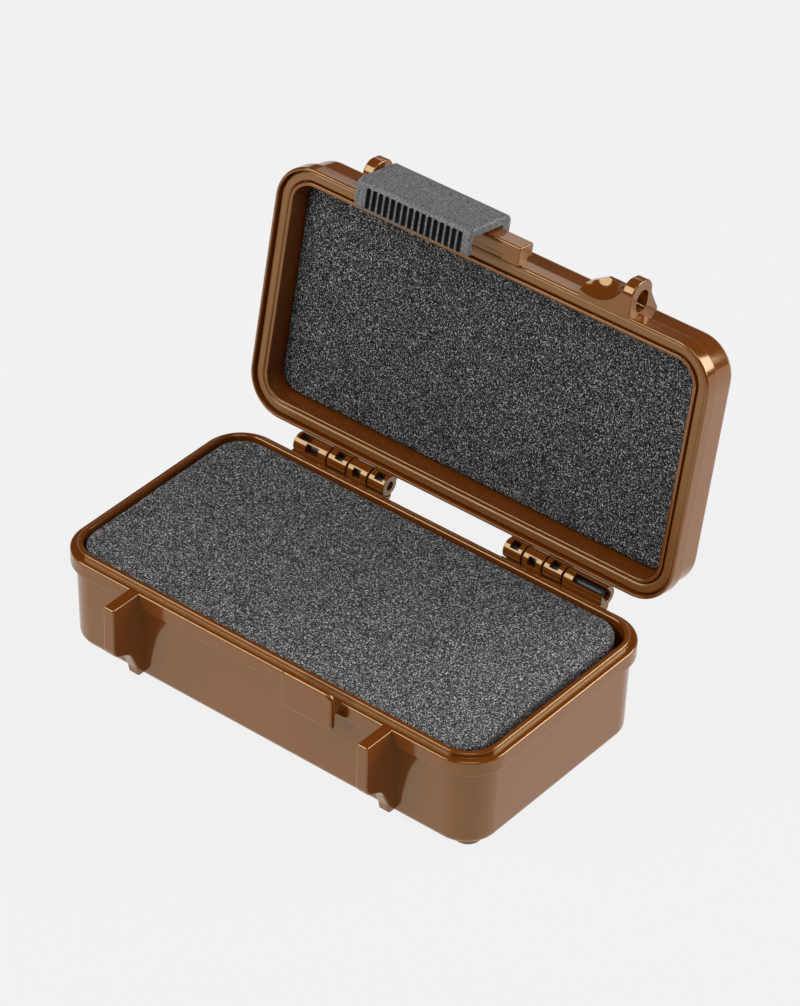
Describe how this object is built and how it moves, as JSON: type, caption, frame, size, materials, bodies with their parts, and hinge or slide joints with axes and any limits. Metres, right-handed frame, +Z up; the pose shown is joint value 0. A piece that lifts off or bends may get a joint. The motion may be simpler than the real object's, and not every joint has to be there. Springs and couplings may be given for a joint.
{
  "type": "miniature carry case",
  "caption": "Small watertight hard-shell case with a hinged lid, a sliding latch, padlock lugs and a foam block inside.",
  "frame": {"origin": "centre of the bounding box's bottom face, with the lid open", "axes": "+X along the long front edge, towards the right as seen from the front; +Y from the front to the hinge side; +Z up"},
  "size_m": [0.1666, 0.1346, 0.1376],
  "materials": {
    "shell_plastic": "glossy brown moulding",
    "seal_rubber": "satin brown rubber",
    "latch_plastic": "fine matte texture",
    "pin_plastic": "matte",
    "base_foam_grey": "open-cell foam",
    "lid_foam_grey": "coarse foam"
  },
  "bodies": {
    "base": {"base_shell": "shell_plastic", "base_foam": "base_foam_grey", "hinge_pin_left": "pin_plastic", "hinge_pin_right": "pin_plastic"},
    "lid": {"lid_shell": "shell_plastic", "lid_seal": "seal_rubber", "lid_foam": "lid_foam_grey"},
    "latch": {"sliding_latch": "latch_plastic"}
  },
  "joints": [
    {"name": "lid_hinge", "type": "hinge", "parent": "base", "child": "lid", "pos_m": [0, 0.0353, 0.03605], "axis": [1, 0, 0], "range_deg": [0, 101]},
    {"name": "latch_slide", "type": "slide", "parent": "lid", "child": "latch", "axis": [1, 0, 0], "range_m": [0, 0.0327]}
  ]
}
